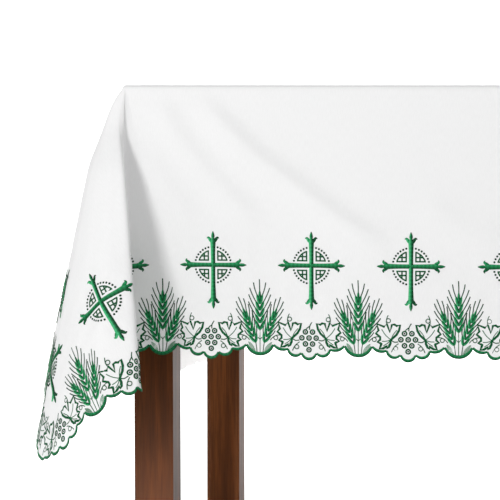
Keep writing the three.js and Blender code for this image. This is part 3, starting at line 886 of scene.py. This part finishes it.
def cross_arm(length, tones):
    # One arm up from the crossing: bar, two curled side leaves and a pointed bud
    t = np.array([-0.06, 0.0, 0.15, 0.35, 0.55, 0.75, 0.88, 0.96, 1.0])
    path = np.stack([np.zeros(9), t * (length - 11)], 1)
    width = BAR_WIDTH * np.array([1.0, 1.0, 0.97, 0.98, 1.04, 1.16, 1.26, 0.95, 0.6])
    parts = [strip(path, width, 1.3, tones)]
    line = curve([(1.0, -21), (3.9, -16.2), (6.4, -12.2), (8.4, -10.6), (10.9, -11.8)], 8)
    leaf_widths = [1.5, 4.2, 5.4, 5.4, 4.8, 4.0, 2.8, 1.0]
    # Each side leaf and the bud take the painted sheen of their side of the bar
    for sign, thread_tone_and_sheen in ((-1, tones[0]), (1, tones[1])):
        leaf = np.stack([sign * line[:, 0], length + line[:, 1]], 1)
        parts.append(strip(leaf, leaf_widths, 0.9, (thread_tone_and_sheen, thread_tone_and_sheen * 0.5 + 0.1)))
    parts.append(moved(petal(15.0, 6.0, 1.2, (tones[0] * 0.8, tones[1] * 0.8)), 0, 0, length - 14.6))
    return join(parts)


def quarter_frame():
    # The frame in the upper right quarter, an arc closed by two lines with a grid inside
    radius, off = 25.9, 8.4
    end = math.sqrt(radius ** 2 - off ** 2)
    turn = np.linspace(math.atan2(off, end), math.atan2(end, off), 9)
    arc = np.stack([radius * np.cos(turn), radius * np.sin(turn)], 1)
    parts = [strip(arc, FRAME_LINE, 0.5, (0.15, 0.2), across=3)]
    grid = 15.5
    reach = math.sqrt(radius ** 2 - grid ** 2)
    lines = [((off, off - 1), (off, end + 1)), ((off - 1, off), (end + 1, off)),
             ((grid, off), (grid, reach)), ((off, grid), (reach, grid))]
    for start, stop in lines:
        parts.append(strip([start, stop], FRAME_LINE, 0.5, (0.15, 0.2), across=3))
    return join(parts)


# Painted sheen: the arms' tones paint the left halves of the upright bars and the upper halves of the
# cross bars lighter, the other halves darker
cross_parts = [cross_arm(ARM_UP, (1.0, 0.1)),
               moved(cross_arm(ARM_DOWN, (0.1, 1.0)), math.pi),
               moved(cross_arm(ARM_SIDE, (0.25, 0.7)), math.pi / 2),
               moved(cross_arm(ARM_SIDE, (0.7, 0.25)), -math.pi / 2)]
for quarter in range(4):
    framed = moved(quarter_frame(), mirror=quarter in (1, 3))
    cross_parts.append(moved(framed, math.pi if quarter >= 2 else 0.0))
    for degrees in np.linspace(15.0, 75.0, 7):
        turn = math.radians(degrees + 90 * quarter)
        cross_parts.append(knot(KNOT_RING * math.cos(turn), KNOT_RING * math.sin(turn), KNOT_SIZE))
cross_places = []
for side in range(4):
    middles = bunch_middles(side)
    if side % 2 == 1:
        middles = middles[1:-1]
    cross_places += [(side, m + CROSS_SHIFT, CROSS_HEIGHT) for m in middles]
embroider("satin_crosses", join(cross_parts), cross_places)

# Grapes
# Eight grapes hang in each bunch, two, three, two and one. Each is a worked eyelet: a
# thick ring of satin with a dark one inside it round a small hole. A forked stalk stands
# over the bunch.
GRAPE_SIZE = 10.2
GRAPE_LINE = 2.6
HOLE_RIM = 2.9
HOLE_LINE = 3.0
STALK_WIDTH = 1.8
STALKS = [
    [(1.2, 54), (1.2, 59), (2.6, 63), (5.6, 67.5)],
    [(-5.2, 54), (-3.4, 56.6), (-0.8, 58.6), (1.2, 60.2)],
]


def ring(x, y, size, line, rise, tones, steps=12):
    # A round of satin stitch, as wide outside as its size
    turn = np.arange(steps) * 2 * np.pi / steps
    radius = (size - line) / 2
    path = np.stack([x + radius * np.cos(turn), y + radius * np.sin(turn)], 1)
    return strip(path, line, rise, tones, closed=True, across=4)


grape_parts = [ring(x, y, GRAPE_SIZE, GRAPE_LINE, 0.7, (0.1, 0.25)) for x, y in grape_places]
grape_parts += [ring(x, y, HOLE_RIM, HOLE_LINE, 0.4, (0.0, 0.0), steps=8) for x, y in grape_places]
for stalk in STALKS:
    grape_parts.append(strip(curve(stalk, 7), STALK_WIDTH, 0.6, (0.15, 0.15), across=3))
every_bunch = [(side, m, 0.0) for side in range(4) for m in bunch_middles(side)]
embroider("grape_eyelets", join(grape_parts), every_bunch)

# Vine leaves
# A pair of vine leaves leans out from each bunch: a toothed outline of five lobes in
# satin, fine veins, a stalk to the grapes and thin curling tendrils with one loop each.
LEAF_PLACE = (30.0, 38.8)
LEAF_LINE = 4.0
VEIN_LINE = 1.4
TENDRIL_LINE = 1.5
LEAF_LOBES = [
    # (direction from upright in degrees, reach, kind, notch after it, its reach)
    (-32, 30.5, "upper", 7, 13.5), (41, 36.5, "long", 76, 19.0), (100, 23.5, "short", 112, 17.5),
    (129, 25.0, "short", 143, 15.5), (156, 16.0, "short", 174, 6.5),
]
LOBE_TEETH = {
    # Per kind, (degrees from the lobe's point, part of its reach) in the order of the outline
    "upper": [(-16, 0.42), (-9, 0.7), (0, 1.0), (9, 0.86), (18, 0.9), (28, 0.86)],
    "long": [(-27, 0.78), (-14, 0.69), (0, 1.0), (12, 0.73), (26, 0.77)],
    "short": [(-10, 0.78), (0, 1.0), (9, 0.8)],
}


def leaf_outline():
    # Each lobe rises from its notch to a point with its teeth beside it
    points = [(0.0, 0.0)]
    for degrees, reach, kind, notch, depth in LEAF_LOBES:
        for aside, share in LOBE_TEETH[kind]:
            turn = math.radians(degrees + aside)
            points.append((reach * share * math.sin(turn), reach * share * math.cos(turn)))
        turn = math.radians(notch)
        points.append((depth * math.sin(turn), depth * math.cos(turn)))
    return np.array(points)


def vine_leaf():
    # The outline and one vein up each lobe
    parts = [strip(leaf_outline(), LEAF_LINE, 0.5, (0.15, 0.3), closed=True, across=3)]
    for degrees, reach, kind, notch, depth in LEAF_LOBES:
        turn = math.radians(degrees)
        tip = (0.66 * reach * math.sin(turn), 0.66 * reach * math.cos(turn))
        bow = (0.35 * reach * math.sin(turn + 0.12), 0.35 * reach * math.cos(turn + 0.12))
        parts.append(strip(curve([(0, 0), bow, tip], 6), VEIN_LINE, 0.35, (0.3, 0.4), across=3))
    return join(parts)


def tendril(start, end, bow, size):
    # A thin bowed line from start to end that turns once round a curl of a size at its middle
    t = np.concatenate([np.linspace(0, 0.5, 9), np.full(15, 0.5), np.linspace(0.5, 1, 9)])
    turn = np.concatenate([np.zeros(9), np.linspace(0, 2 * math.pi, 17)[1:-1], np.full(9, 2 * math.pi)])
    start, end = np.array(start), np.array(end)
    way = (end - start) / np.hypot(*(end - start))
    left = np.array([-way[1], way[0]])
    along = np.hypot(*(end - start)) * t + abs(size) * np.sin(turn)
    aside = bow * np.sin(np.pi * t) + size * (1 - np.cos(turn))
    path = start + along[:, None] * way + aside[:, None] * left
    return strip(path, TENDRIL_LINE, 0.4, (0.15, 0.25), across=3)


TENDRILS = [
    # (start, end, bow to the left, size of the curl)
    ((36.5, 63.0), (34.5, 81.5), -2.2, 3.6), ((49.0, 44.0), (68.5, 34.5), 3.2, -3.5),
    ((16.5, 32.5), (29.0, 17.0), 2.0, -3.6),
]
leaf = vine_leaf()
leaf_parts = []
for mirror in (False, True):
    side_parts = [moved(leaf, 0.0, *LEAF_PLACE)]
    stalk = curve([LEAF_PLACE, (24, 35), (17, 35.5)], 7)
    side_parts.append(strip(stalk, STALK_WIDTH, 0.3, (0.15, 0.25), across=3))
    side_parts += [tendril(*row) for row in TENDRILS]
    leaf_parts += [moved(part, mirror=mirror) for part in side_parts]
embroider("vine_leaves", join(leaf_parts), every_bunch)

# Wheat
# A sheaf of three ears stands on each wide scallop. Kernels are small satin lenses set in
# pairs, each with a long fine awn, over three stems and two open-stitched blade leaves.
KERNEL_LENGTH = 17.6
KERNEL_WIDTH = 5.9
AWN_LINE = 1.8
STEM_LINE = 1.3
BLADE_LENGTH = 21.5
SIDE_EAR_LEAN = 20.5
BLADE_LEAN = 35.5
EAR_ROWS = [
    # (height on the ear, lean of the kernels in degrees, reach and height of the awn's end)
    (0.0, 26, 14.0, 33.0), (11.2, 26, 20.0, 48.5), (22.4, 25, 19.6, 61.0), (33.6, 22, 17.6, 72.5),
    (44.8, 15, 10.8, 82.0),
]
SIDE_EAR_ROWS = [
    # (height on the ear, lean of the kernels in degrees, reach and height of the awn's end)
    (0.0, 23, 11.0, 26.0), (10.4, 23, 12.0, 38.5), (20.8, 22, 13.6, 53.0), (31.2, 19, 11.5, 67.0),
    (41.6, 12, 7.0, 79.0),
]


def ear(rows, width):
    # One ear up from its stem's end at the origin. Its kernels stand in pairs and meet on the axis
    parts = []
    for height, lean, reach, rise in rows:
        lean = math.radians(lean)
        for sign in (-1, 1):
            # Painted sheen: each kernel's outer half is painted lighter and its inner half darker
            tones = (0.85, 0.2) if sign < 0 else (0.2, 0.7)
            kernel = petal(KERNEL_LENGTH, width, 0.9, tones, belly=0.42, full=0.5)
            parts.append(moved(kernel, -sign * lean, sign * 0.4, height - 0.8))
            start = np.array([sign * (0.4 + 0.88 * KERNEL_LENGTH * math.sin(lean)),
                              height - 0.8 + 0.88 * KERNEL_LENGTH * math.cos(lean)])
            end = np.array([sign * reach, rise])
            bow = (start + end) / 2 + np.array([sign * 1.0, 0.2])
            parts.append(strip(curve([start, bow, end], 6), AWN_LINE, 0.3, (0.0, 0.1), across=3))
    top = rows[-1][0] + 7.0
    # The top kernel's left half is painted lighter and its right half darker, for the sheen
    parts.append(moved(petal(KERNEL_LENGTH, width * 0.8, 0.9, (0.7, 0.2)), 0, 0, top))
    top_awn = [(0, top + 15), (0, top + 24), (-0.5, top + 36)]
    parts.append(strip(top_awn, AWN_LINE, 0.3, (0.0, 0.1), across=3))
    return join(parts)


def blade():
    # A blade leaf in open stitch: close slanting hatch lines with cloth between them
    parts = []
    for y in np.arange(1.0, BLADE_LENGTH, 1.5):
        reach = 3.3 * math.sin(math.pi * y / BLADE_LENGTH) ** 0.7
        parts.append(strip([(-reach, y - 1.2), (reach, y + 1.2)], 0.8, 0.25, (0.5, 0.5), across=3))
    return join(parts)


side_ear = ear(SIDE_EAR_ROWS, KERNEL_WIDTH * 0.86)
wheat_parts = [moved(ear(EAR_ROWS, KERNEL_WIDTH), 0, 0, 53.7)]
wheat_parts.append(strip([(0, 12.5), (0, 30), (0, 54.5)], STEM_LINE, 0.4, (0.3, 0.3), across=3))
for sign in (-1, 1):
    wheat_parts.append(moved(side_ear, -sign * math.radians(SIDE_EAR_LEAN), sign * 7.7, 31.0))
    stem = curve([(sign * 5.2, 12.5), (sign * 6.2, 22), (sign * 7.9, 33)], 7)
    wheat_parts.append(strip(stem, 1.5, 0.4, (0.15, 0.2), across=3))
    wheat_parts.append(strip([(0, 35.5), (sign * 3.6, 39.5)], 1.3, 0.4, (0.2, 0.2), across=3))
    wheat_parts.append(moved(blade(), -sign * math.radians(BLADE_LEAN), sign * 8.0, 13.8))
wheat_places = [(side, m + REPEAT / 2, 0.0) for side in range(4) for m in bunch_middles(side)[:-1]]
embroider("wheat_sheaves", join(wheat_parts), wheat_places)

# Floor and light
# A pale seamless backdrop of matt paper: a level floor that curves up far behind the table.
FLOOR_REACH = 12.0
BACKDROP_CURVE = 3.0
BACKDROP_HEIGHT = 8.0
floor_line = [(-FLOOR_REACH, 0.0), (FLOOR_REACH, 0.0)]
for degrees in range(10, 91, 10):
    turn = math.radians(degrees)
    floor_line.append((FLOOR_REACH + BACKDROP_CURVE * math.sin(turn),
                       BACKDROP_CURVE * (1 - math.cos(turn))))
floor_line.append((FLOOR_REACH + BACKDROP_CURVE, BACKDROP_HEIGHT))
floor_points = [(x, y, z) for y, z in floor_line for x in (-14.0, 14.0)]
floor_faces = np.array([[2 * i, 2 * i + 1, 2 * i + 3, 2 * i + 2] for i in range(len(floor_line) - 1)])
paper, tree, shader = new_material("white_backdrop_paper")
shader.inputs["Base Color"].default_value = linear("#fafafa")
shader.inputs["Roughness"].default_value = 0.9
shader.inputs["Emission Color"].default_value = linear("#ffffff")
shader.inputs["Emission Strength"].default_value = 0.25
floor = make_mesh("backdrop", floor_points, floor_faces, paper)


def soft_light(name, place, target, size, power, spread=180):
    # A square panel lamp turned to its target, with its size in metres and its spread in degrees
    data = bpy.data.lights.new(name, "AREA")
    data.shape = "SQUARE"
    data.size = size
    data.energy = power
    data.spread = math.radians(spread)
    lamp = bpy.data.objects.new(name, data)
    lamp.location = place
    lamp.rotation_euler = (Vector(target) - Vector(place)).to_track_quat("-Z", "Y").to_euler()
    bpy.context.scene.collection.objects.link(lamp)


# A large key lamp from the left, a narrow low one at the legs and two that whiten the backdrop
soft_light("key_light", (-3.0, -5.7, 2.8), (0, 0, 0.6), 1.3, 164)
soft_light("low_light", (-0.714, -3.3, 0.2), (-0.714, -0.5, 0.02), 0.2, 1.1, 14)
soft_light("backdrop_light", (0.0, 2.6, 3.6), (0, 5.5, 0.0), 3.5, 260)
soft_light("far_light", (0, 8.5, 5.0), (0, 12.5, 0.3), 5.0, 800)
world = bpy.data.worlds.new("studio")
world.use_nodes = True
world.node_tree.nodes["Background"].inputs["Color"].default_value = (1, 1, 1, 1)
world.node_tree.nodes["Background"].inputs["Strength"].default_value = 0.395
bpy.context.scene.world = world

# Camera, level with the table top in front of the table's middle, looking left and slightly down
LENS_PX = 2000.0
PHOTO_PX = 500
camera_data = bpy.data.cameras.new("camera")
camera_data.sensor_width = 36.0
camera_data.lens = camera_data.sensor_width * LENS_PX / PHOTO_PX
camera = bpy.data.objects.new("camera", camera_data)
camera.location = (-0.0002, -3.8548, 0.9474)
yaw, pitch = math.radians(8.8986), math.radians(4.6878)
way = Vector((-math.sin(yaw) * math.cos(pitch), math.cos(yaw) * math.cos(pitch), -math.sin(pitch)))
camera.rotation_euler = way.to_track_quat("-Z", "Y").to_euler()
bpy.context.scene.collection.objects.link(camera)
bpy.context.scene.camera = camera
bpy.context.scene.view_settings.view_transform = "Standard"
